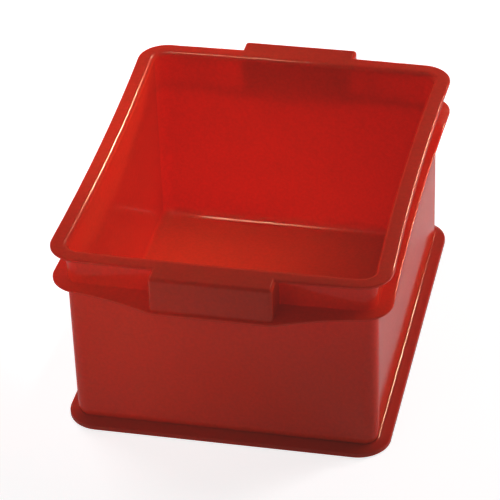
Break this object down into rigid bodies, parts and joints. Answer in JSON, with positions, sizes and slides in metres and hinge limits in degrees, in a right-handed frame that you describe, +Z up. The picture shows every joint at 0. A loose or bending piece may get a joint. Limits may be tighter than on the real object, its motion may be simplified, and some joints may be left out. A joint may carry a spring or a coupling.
{
  "type": "art supply box",
  "caption": "Open storage tub of glossy plastic with a turned-out rim, a winged flange and hollow grips at its ends, standing in its own dished lid.",
  "frame": {"origin": "on the ground under the middle of the lid", "axes": "+Z up out of the tub's mouth, +Y along the long walls towards the rear grip, +X across the box"},
  "size_m": [0.2668, 0.365, 0.1668],
  "materials": {
    "tub_plastic": "glossy moulded plastic, slightly translucent",
    "lid_plastic": "glossy moulded plastic, slightly translucent"
  },
  "bodies": {
    "lid": {"lid": "lid_plastic"},
    "tub": {"tub": "tub_plastic"}
  },
  "joints": [
    {"name": "tub_lift", "type": "slide", "parent": "lid", "child": "tub", "axis": [0, 0, 1], "range_m": [0, 0.2]}
  ]
}
